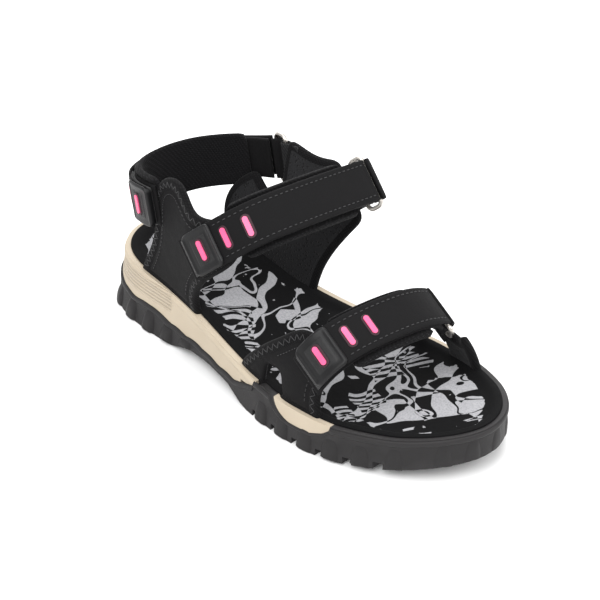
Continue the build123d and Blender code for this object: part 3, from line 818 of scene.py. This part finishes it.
def lateral_vamp_side(u, z):
    low = knots(u, [(110, 41.5), (135, 46), (168, 50.5), (195, 49), (215, 43.5)])
    middle = knots(u, [(110, 41), (140, 47), (170, 48.3), (200, 47.5)])
    high = knots(u, [(110, 39), (150, 43), (175, 41), (205, 39.5)])
    return -through(z, (20, low), (42, middle), (65, high))


def medial_vamp_side(u, z):
    low = knots(u, [(150, 40.5), (160, 42.6), (190, 46.6), (215, 44.6), (235, 37.5)])
    middle = knots(u, [(150, 38), (175, 40.5), (200, 39), (230, 36)])
    high = knots(u, [(150, 29), (180, 29), (200, 27), (230, 24)])
    return through(z, (20, low), (40, middle), (58, high))


QUARTER_LATERAL = [(31, 20), (32, 32), (38, 46), (44, 60), (46, 74), (46, 88), (50, 97), (58, 102.5),
                   (68, 102.5), (76, 98.5), (84, 95.5), (93, 95.5), (103, 97), (113, 93), (118, 84),
                   (112, 73), (101, 63), (90, 50), (85, 38), (86, 27), (86, 20), (60, 20)]
QUARTER_MEDIAL = [(40, 20), (40, 32), (37, 46), (38, 60), (46, 72), (58, 82), (64, 94), (69, 99.5),
                  (75, 99.5), (82, 98.5), (90, 97.5), (100, 98), (108, 101), (116, 105), (125, 104),
                  (134, 96), (136, 86), (129, 72), (119, 56), (112, 40), (110, 28), (109, 20),
                  (80, 20)]
VAMP_LATERAL = [(127, 10), (128, 24), (136, 35), (148, 47), (160, 57), (170, 64), (183, 64.5),
                (195, 60), (196, 52), (191, 40), (190, 26), (192, 10), (160, 8)]
VAMP_MEDIAL = [(164, 10), (165, 24), (173, 40), (180, 52), (184, 60), (196, 62), (210, 58),
               (217, 50), (220, 40), (223, 26), (225, 10), (195, 8)]


def panel_surface(side):
    """Maps (u, z) points at a depth inside a panel's outer face into space."""
    def smooth_side(u, z):
        return sum(side(u + k, z) for k in (-6, -3, 0, 3, 6)) / 5

    def surface(p, depth):
        u, z = p[:, 0], p[:, 1]
        y = smooth_side(u, z)
        lean = smooth_side(u, z + 1) - y
        turn = smooth_side(u + 1, z) - y
        sign = np.sign(y)
        normal = normalise(np.column_stack([-turn, np.ones_like(u), -lean])) * sign[:, None]
        return np.column_stack([u - HEEL_TO_ORIGIN, y, z]) - normal * np.asarray(depth)[:, None]
    return surface


def clear_of_sole(loop):
    """The outline kept just inside the top of the sole rim."""
    low = rim_height(loop[:, 0]) - 4.0
    return np.column_stack([loop[:, 0], np.maximum(loop[:, 1], low)])


def vent_loop(u0, u1, z0, z1):
    points = [(u0, z0 + 2), (u0 + 1, (z0 + z1) / 2), (u0 + 3, z1 - 1), ((u0 + u1) / 2, z1),
              (u1 - 3, z1 - 1), (u1 - 1, (z0 + z1) / 2), (u1, z0 + 2), ((u0 + u1) / 2, z0)]
    return resample(spline(points, 120, True), 1.5, True)


def panel_stitches(loops, surface, low_limit):
    """Zigzag on the edge band and one straight row inside it, along the outer edge."""
    outer, inner, row = 1.9, 5.0, 8.6
    line = resample(loops[0], 2.3, True)
    way = normalise(np.roll(line, -1, 0) - np.roll(line, 1, 0))
    off = np.stack([-way[:, 1], way[:, 0]], 1)
    area = (line[:, 0] * np.roll(line[:, 1], -1) - np.roll(line[:, 0], -1) * line[:, 1]).sum()
    off = off if area > 0 else -off

    def level(d, lift):
        p = line + off * d
        return p, surface(p, np.full(len(p), lift))
    _, a = level(outer, -0.22)
    pb, b = level(inner, -0.22)
    pr, r = level(row, -0.16)
    _, deep = level(outer, 1.0)
    normals = normalise(a - deep)
    ok = (edge_distance(pb, loops) > inner * 0.9) & low_limit(line)
    for i in np.flatnonzero(ok[:-1] & ok[1:]):
        p, q = (a[i], b[i + 1]) if i % 2 == 0 else (b[i], a[i + 1])
        if np.linalg.norm(q - p) < 7:
            stitches.add("sandal", p, q, normals[i], width=0.5, height=0.4)
    ok = (edge_distance(pr, loops) > row * 0.93) & low_limit(line)
    for i in np.flatnonzero(ok[:-1] & ok[1:]):
        if np.linalg.norm(r[i + 1] - r[i]) < 4:
            stitches.add("sandal", r[i], r[i] + (r[i + 1] - r[i]) * 0.62, normals[i], width=0.5,
                         height=0.35)


# ---- straps --------------------------------------------------------------------------------------------
def unit(x, y):
    length = math.hypot(x, y)
    return (x / length, y / length)


class Strap:
    """The working plane and centre line of one strap, in millimetres."""

    def __init__(self, name, origin, across, outward, side, path, lean, base_end, pad_span):
        self.name, self.side, self.lean = name, side, lean
        self.x = normalise(np.array(across, float))
        out = normalise(np.array(outward, float))
        self.z = normalise(np.cross(self.x, out))
        self.y = np.cross(self.z, self.x)
        self.o = np.array([origin[0] - HEEL_TO_ORIGIN, origin[1], origin[2]])
        self.way = unit(*path[0])
        start = (-self.way[1] * side * BAR_CLEAR, self.way[0] * side * BAR_CLEAR)
        self.line = spline([start] + path, 400)
        self.t = np.concatenate([[0], np.cumsum(np.linalg.norm(np.diff(self.line, axis=0), axis=1))])
        self.total = self.t[-1]
        self.end = self.total - base_end
        self.pad_span = pad_span

    def flat(self, where):
        """Point on the line and its normal, in the plane."""
        where = np.clip(np.asarray(where, float), 0, self.total)
        p = np.stack([np.interp(where, self.t, self.line[:, k]) for k in (0, 1)], -1)
        q = np.stack([np.interp(np.clip(where + 0.4, 0, self.total), self.t, self.line[:, k])
                      for k in (0, 1)], -1)
        r = np.stack([np.interp(np.clip(where - 0.4, 0, self.total), self.t, self.line[:, k])
                      for k in (0, 1)], -1)
        way = normalise(q - r)
        return p, np.stack([-way[..., 1], way[..., 0]], -1) * self.side

    def space(self, a, b, w):
        """A plane point at a distance along the ring bar, in space."""
        a, b, w = (np.asarray(v, float)[..., None] for v in (a, b, w))
        return self.o + a * self.x + b * self.y + w * self.z

    def at(self, where, height, w):
        """A point over the line: distance along, height over it and offset sideways."""
        p, n = self.flat(where)
        h = np.asarray(height, float)
        return self.space(p[..., 0] + n[..., 0] * h, p[..., 1] + n[..., 1] * h, w)

    def normal(self, where):
        p, n = self.flat(where)
        return n[..., 0:1] * self.x + n[..., 1:2] * self.y


def slab(strap, name, start, end, low, high, width, body, mats, replace=(), rounding=1.0,
         ns=None, corner=(0.0, 0.0), relief=None, pick=None):
    """A band along a strap with rounded edges, optional rounded ends and surface relief."""
    length = end - start
    ns = ns or max(10, int(length / 1.6))
    edge = rounding
    ends = np.array([0, 0.08, 0.22, 0.5, 1.0, 1.6]) * edge / length
    f = np.unique(np.concatenate([ends, 1 - ends, np.linspace(0, 1, ns)]))
    f = f[(f >= 0) & (f <= 1)]
    s = start + f * length
    half = width / 2
    near = np.array([0, 0.08, 0.22, 0.5, 1.0, 1.6]) * edge / half
    w0 = np.unique(np.concatenate([-1 + near, 1 - near, np.linspace(-1, 1, 17)]))
    S, W = np.meshgrid(s, w0, indexing="ij")
    d_end = np.minimum(S - start, end - S)
    limit = np.full(S.shape, half)
    for c, room in ((corner[0], S - start), (corner[1], end - S)):
        if c:
            part = np.clip(1 - room / c, 0, 1)
            limit = np.minimum(limit, half - c * (1 - np.sqrt(1 - part ** 2)))
    W = W * limit
    d = np.minimum(d_end, limit - np.abs(W))
    lo = low(S) if callable(low) else np.full(S.shape, float(low))
    hi = high(S) if callable(high) else np.full(S.shape, float(high))
    t = hi - lo
    fall = np.clip(1 - d / edge, 0, 1)
    drop = (1 - np.sqrt(np.maximum(0, 1 - fall ** 2))) * t / 2
    extra = relief(S, W, d) if relief else 0.0
    top = strap.at(S, hi - drop + extra, W)
    bottom = strap.at(S, lo + drop, W)
    rows, cols = S.shape
    border = np.zeros(S.shape, bool)
    border[0] = border[-1] = border[:, 0] = border[:, -1] = True
    ids = np.arange(rows * cols).reshape(rows, cols)
    back = np.where(border, ids, ids + rows * cols)
    points = np.concatenate([top.reshape(-1, 3), bottom.reshape(-1, 3)])
    probe = strap.at(S, hi + 1, W) - strap.at(S, hi, W)
    ahead, behind = np.clip(S + 0.5, 0, strap.total), np.clip(S - 0.5, 0, strap.total)
    du = strap.at(ahead, hi, W) - strap.at(behind, hi, W)
    turn = (np.cross(du, strap.z) * probe).sum(-1).mean() > 0
    faces, groups = [], []
    for i in range(rows - 1):
        for j in range(cols - 1):
            q = (ids[i, j], ids[i + 1, j], ids[i + 1, j + 1], ids[i, j + 1])
            p = (back[i, j], back[i, j + 1], back[i + 1, j + 1], back[i + 1, j])
            if not turn:
                q, p = q[::-1], p[::-1]
            faces.append(tuple(int(v) for v in q))
            faces.append(tuple(int(v) for v in p))
            g = pick(S[i:i + 2, j:j + 2].mean(), W[i:i + 2, j:j + 2].mean(),
                     d[i:i + 2, j:j + 2].mean()) if pick else 0
            groups += [g, len(mats) - 1 if len(mats) > 1 and g != 1 else g]
    return finish_piece(name, points, faces, mats, body, groups, replace)


def band_path(strap, name, path, half_thick, width, body, mats, replace=()):
    """A webbing band along a path in the strap's plane."""
    line = resample(path, 0.7)
    way = normalise(np.gradient(line, axis=0))
    off = np.stack([-way[:, 1], way[:, 0]], 1)
    h = half_thick
    section = []
    for k in range(28):
        turn = 2 * math.pi * k / 28
        c, s = math.cos(turn), math.sin(turn)
        w = math.copysign(abs(c) ** 0.25, c) * width / 2
        if abs(w) > width / 2 - h:
            w = math.copysign(width / 2 - h + h * abs(c), c)
        section.append((w, math.copysign(abs(s) ** 0.45, s) * h))
    rows, cols = len(line), len(section)
    points = []
    for p, n in zip(line, off):
        for w, t in section:
            points.append(strap.space(p[0] + n[0] * t, p[1] + n[1] * t, w))
    points = np.array(points)
    faces = grid_faces(rows, cols, 0, wrap=True)
    for row in (0, rows - 1):
        ring = [row * cols + c for c in range(cols)]
        faces.append(tuple(ring if row else ring[::-1]))
    finish_piece(name, points, faces, mats, body, None, replace).data.validate()


STRAPS = {
    "instep": Strap("instep", (126.7, 56.3, 94.0), (-0.065, -0.9956, 0.068), (0.72, 0, 0.69), 1,
                    [(11.5, 3.4), (31.5, 5.6), (51.5, 6.6), (70, 6.0), (84, 1.8), (93, -8),
                     (98.5, -21), (102, -34), (103.5, -44)], unit(0.29, -0.957), 9.0, (17, 99)),
    "fore": Strap("fore", (199.6, 29.8, 56.6), (-0.108, -0.9925, 0.055), (0.45, 0, 0.89), 1,
                  [(10, 7.4), (22, 11.6), (38, 12.9), (54, 11.6), (67.5, 7.8), (76, 0.8),
                   (80.5, -8), (83, -17)], unit(-0.37, -0.93), 8.0, (17, 74)),
    "heel": Strap("heel", (61.0, 50.5, 85.0), (math.cos(math.radians(11)), 0, math.sin(math.radians(11))),
                  (0, 1, 0), -1,
                  [(-10, -3.6), (-20, -8.6), (-30.5, -15.6), (-39.5, -24.5), (-45.5, -35.5),
                   (-48, -48), (-47, -59.5), (-42.5, -70), (-34.5, -77.6), (-24, -82), (-10, -84.3)],
                  unit(0.985, -0.17), 3.0, (17, 160))}


def ring_room(strap):
    """Test for points in the space a panel leaves round a ring."""
    c = np.array(strap.lean) * RING_REACH
    clear = RING_WIRE / 2 + BODY_GAP + 1.4 + 0.2
    lean = np.array(strap.lean)

    def inside(points):
        local = points - strap.o
        a, b, w = local @ strap.x, local @ strap.y, local @ strap.z
        along = (a - c[0]) * lean[0] + (b - c[1]) * lean[1]
        off = -(a - c[0]) * lean[1] + (b - c[1]) * lean[0]
        return (along < clear) & (along > clear - 60) & (abs(off) < 12) \
            & (abs(w) < RING_HALF + RING_WIRE / 2 + 3)
    return inside


def make_panels():
    """The four padded side panels with bound edges and stitching."""
    specs = {
        "lateral_quarter": (lateral_quarter_side, QUARTER_LATERAL, [], []),
        "medial_quarter": (medial_quarter_side, QUARTER_MEDIAL, [], ["instep", "heel"]),
        "lateral_vamp": (lateral_vamp_side, VAMP_LATERAL, [(148, 164, 22, 37)], []),
        "medial_vamp": (medial_vamp_side, VAMP_MEDIAL, [(181, 200, 22, 38)], ["fore"])}
    for name, (side, outline, holes, rings) in specs.items():
        surface = panel_surface(side)
        loop = resample(spline(outline, 500, True), 1.8, True)
        for ring in rings:
            inside = ring_room(STRAPS[ring])
            loop = cut_outline(loop, lambda p, s=surface, r=inside: r(s(p, np.full(len(p), 2.0))))
        loop = resample(clear_of_sole(loop), 1.8, True)
        loops = [loop] + [vent_loop(*h) for h in holes]
        obj = sheet_piece(f"{name}_panel", loops, surface, PANEL, 1.9, [NUBUCK, BINDING, LINING],
                          "sandal", [f"{name}_shell", f"{name}_lining"])
        panel_stitches(loops, surface, lambda p: p[:, 1] > rim_height(p[:, 0]) + 1.5)


def strap_rows(strap, body, start, end, height, offset=3.0):
    """Two dotted rows of stitches along a strap."""
    s = np.arange(start, end, 1.0)
    for w in (-STRAP_WIDTH / 2 + offset, STRAP_WIDTH / 2 - offset):
        line = strap.at(s, np.full(len(s), height), np.full(len(s), w))
        stitches.row(body, line, strap.normal(s), 2.0, 1.5)


def make_strap(strap):
    """One closing strap with its padding, fold, free end, tab, trim and ring webbing."""
    name, end, total = strap.name, strap.end, strap.total
    free = f"{name}_free_end"
    link = "sandal" if name == "heel" else f"{name}_ring_link"
    fold_radius = BAR_CLEAR + TAIL
    hook_start, loop_start = end - TAB_LENGTH - 18, end - TAB_LENGTH - 30

    def base_top(s):
        part = np.clip(s / 16.0, 0, 1)
        part = part * part * (3 - 2 * part)
        return -2 * BAR_CLEAR * (1 - part) - BODY_GAP * part

    def tail_low(s):
        return 0.86 * np.clip((s - hook_start) / 5, 0, 1)

    def leg_top(s):
        return base_top(s) - 0.86 * np.clip((s - loop_start) / 5, 0, 1)

    def leg_low(s):
        return base_top(s) - BASE - PATCH

    begin = math.sqrt((fold_radius + BODY_GAP) ** 2 - (BAR_CLEAR + 1) ** 2) + 0.2

    def quilt(s, w, d):
        groove = -0.16 * np.exp(-((d - 3.0) / 0.55) ** 2)
        return groove + 0.1 * np.clip((d - 4) / 4, 0, 1)
    slab(strap, f"{name}_tail", begin, end, tail_low, lambda s: np.full(np.shape(s), TAIL), STRAP_WIDTH,
         free, [NUBUCK], [f"{name}_strap_tail"], rounding=1.0, corner=(0, 2.5), relief=quilt)
    strap_rows(strap, free, begin + 2, end - TAB_LENGTH - 1, TAIL - 0.12)
    slab(strap, f"{name}_leg", begin + 0.6, total, leg_low, leg_top, STRAP_WIDTH, "sandal",
         [NUBUCK], [f"{name}_strap_base"], rounding=1.0)
    lo, hi = strap.pad_span[0], min(strap.pad_span[1], total)

    def pad_top(s):
        return leg_low(s) - SEWN_GAP

    def pillow(s, w, d):
        return 1.3 * np.exp(-((abs(w) - 14.0) / 0.95) ** 2) * np.clip(d / 0.8, 0, 1)
    pad = slab(strap, f"{name}_padding", lo, hi, lambda s: pad_top(s) - PAD, pad_top,
               STRAP_WIDTH + 2 * PAD_MARGIN, "sandal", [COLLAR], [f"{name}_strap_pad"],
               rounding=1.5, corner=(5, 5), relief=pillow)
    s = np.arange(lo + 5, hi - 4, 2.0)
    for sign in (-1, 1):
        rows = [strap.at(s, pad_top(s) + lift, np.full(len(s), sign * w))
                for w, lift in ((13.0, 0.45), (15.0, 0.15))]
        stitches.zigzag("sandal", rows[0], rows[1], strap.normal(s), width=0.5, height=0.4)
    slab(strap, f"{name}_loop_tape", loop_start + 5, total - 3, -BODY_GAP - PATCH, -BODY_GAP,
         STRAP_WIDTH - 3, "sandal", [TAPE], [f"{name}_strap_loop_face"], rounding=0.4)
    slab(strap, f"{name}_hook_tape", hook_start + 5, end - 3, 0.0, PATCH, STRAP_WIDTH - 3, free,
         [TAPE], [f"{name}_strap_hook_face"], rounding=0.4)
    over = TAIL + SEWN_GAP
    tip = end + 1.4
    tab_from = end - TAB_LENGTH

    def tab_low(s):
        return over * np.clip((end + 0.4 - s) / 0.7, 0, 1)

    def tab_relief(s, w, d):
        ridge = 0.55 * np.exp(-((d - 1.3) / 0.8) ** 2)
        inlay = np.where((abs(w) < 7.5) & (s < end - 4.0) & (s > tab_from + 4.2), 0.3, 0.0)
        centre = (tab_from + end) / 2
        inside = (abs(s - centre) < 2.5) & (abs(w) < 6.5)
        return ridge - 0.2 + np.where(inside, 0.0, inlay) * 0.8
    slab(strap, f"{name}_tab", tab_from, tip, tab_low, lambda s: np.full(np.shape(s), over + TAB_THICKNESS),
         STRAP_WIDTH, free, [TAB, TAB_INLAY, TAB], [f"{name}_strap_tab"], rounding=0.7, ns=48,
         corner=(3, 4), relief=tab_relief,
         pick=lambda s, w, d: 1 if abs(w) < 7.5 and tab_from + 4.2 < s < end - 4.0 else 0)
    for i in range(3):
        where = end - TAB_LENGTH / 2 - i * 13.0 - (3.0 if i else 0.0)
        height = over + (TAB_THICKNESS if i == 0 else 0.0) + 0.03
        slab(strap, f"{name}_bar_frame_{i}", where - 2.5, where + 2.5, height - 0.35, height + 0.32, 13.2,
             free, [PINK_EDGE], rounding=0.3, corner=(2.4, 2.4), ns=12)
    middle = BAR_CLEAR + TAIL / 2
    n = (-strap.way[1] * strap.side, strap.way[0] * strap.side)
    path = []
    for k in range(25):
        turn = math.pi * k / 24
        c, s = math.cos(turn), math.sin(turn)
        path.append((n[0] * middle * c - strap.way[0] * middle * s,
                     n[1] * middle * c - strap.way[1] * middle * s))
    first = [(path[0][0] + strap.way[0] * 1.4, path[0][1] + strap.way[1] * 1.4)]
    last = [(path[-1][0] + strap.way[0] * 1.4, path[-1][1] + strap.way[1] * 1.4)]
    band_path(strap, f"{name}_fold", first + path + last, TAIL / 2 - 0.02, STRAP_WIDTH, link,
              [NUBUCK], [f"{name}_strap_fold"])
    lean = np.array(strap.lean)
    side = np.array([-lean[1], lean[0]])
    centre = lean * RING_REACH
    mid = RING_WIRE / 2 + BODY_GAP + 0.7
    path = [centre + lean * 12.2 + side * (0.75 - strap.side * 0.6),
            centre + lean * 4.5 + side * (0.9 - strap.side * 0.6)]
    for k in range(19):
        turn = math.pi * k / 18
        path.append(centre + side * mid * math.cos(turn) - lean * mid * math.sin(turn))
    path += [centre + lean * 4.5 - side * (0.9 + strap.side * 0.6),
             centre + lean * 12.2 - side * (0.75 + strap.side * 0.6)]
    band_path(strap, f"{name}_webbing", np.array(path), 0.66, STRAP_WIDTH - 2, "sandal",
              [WEBBING], [f"{name}_ring_loop"])
    out = 1 if strap.side > 0 else -1
    for w in (-8.5, 8.5):
        base = centre + side * out * 1.5 - side * strap.side * 0.6
        a = strap.space(*(base + lean * 4.5), w)
        b = strap.space(*(base + lean * 11.5), w)
        line = np.linspace(a, b, 8)
        normal = strap.x * side[0] * out + strap.y * side[1] * out
        stitches.row("sandal", line, np.tile(normal, (8, 1)), 1.7, 1.0)


def cad_finish(node, mat):
    """A new finish for a CAD piece."""
    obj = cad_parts[node]
    obj.data.materials.clear()
    obj.data.materials.append(mat)


def finish_cad():
    """Finishes for the pieces whose CAD shape stays."""
    for node in ("outsole_cup", "outsole_heel"):
        cad_finish(node, RUBBER)
    for node in ("midsole", "midsole_rim", "window_foam"):
        cad_finish(node, FOAM)
    for node in ("forefoot_foam", "footbed_foam"):
        cad_finish(node, INNER)
    for name in STRAPS:
        cad_finish(f"{name}_ring", NICKEL)
        cad_finish(f"{name}_accent_bars", PINK)


def studio():
    """Pale floor, soft light and the camera."""
    scene = bpy.context.scene
    bpy.ops.mesh.primitive_plane_add(size=1)
    floor = bpy.context.object
    floor.name = "floor"
    for v, (x, y) in zip(floor.data.vertices, [(-6, -6), (6, -6), (-6, 6), (6, 6)]):
        v.co = (x, y, 0)
    f = Finish("paper", (0.86, 0.86, 0.86), 0.9, Specular_IOR_Level=0.1)
    f.color(f.mix(f.noise(60, 2), (0.84, 0.84, 0.84), (0.87, 0.87, 0.87)))
    floor.data.materials.append(f.mat)
    world = bpy.data.worlds.new("studio")
    scene.world = world
    scene.view_settings.view_transform = "Standard"
    scene.view_settings.look = "None"
    world.use_nodes = True
    world.node_tree.nodes["Background"].inputs[0].default_value = (1.0, 1.0, 1.0, 1)
    world.node_tree.nodes["Background"].inputs[1].default_value = 0.85
    lamps = (("key", (0.5, -0.9, 1.1), 0.9, 16), ("fill", (1.1, 0.5, 0.8), 1.0, 9),
             ("top", (0.0, 0.1, 1.5), 1.2, 12), ("rear", (-0.9, 0.7, 0.9), 0.8, 9))
    for name, place, size, power in lamps:
        light = bpy.data.lights.new(name, "AREA")
        light.size = size
        light.energy = power
        obj = bpy.data.objects.new(name, light)
        scene.collection.objects.link(obj)
        obj.location = place
        obj.rotation_euler = (Vector((0.09, 0, 0.04)) - Vector(place)).to_track_quat("-Z", "Y").to_euler()
    az, el, far = math.radians(45), math.radians(33.5), 1.1
    target = Vector((0.093, 0.0, 0.043))
    camera = bpy.data.cameras.new("camera")
    camera.lens = 122
    camera.sensor_width = 36
    obj = bpy.data.objects.new("camera", camera)
    scene.collection.objects.link(obj)
    away = Vector((math.sin(az) * math.cos(el), -math.cos(az) * math.cos(el), math.sin(el)))
    obj.location = target + away * far
    obj.rotation_euler = (-away).to_track_quat("-Z", "Y").to_euler()
    scene.camera = obj


studio()
finish_cad()
sole_details()
footbed()
make_panels()
for one in STRAPS.values():
    make_strap(one)
for body, (points, faces) in stitches.sets.items():
    finish_piece(f"stitches_{body}", points, faces, [THREAD], body)

bpy.context.view_layer.update()
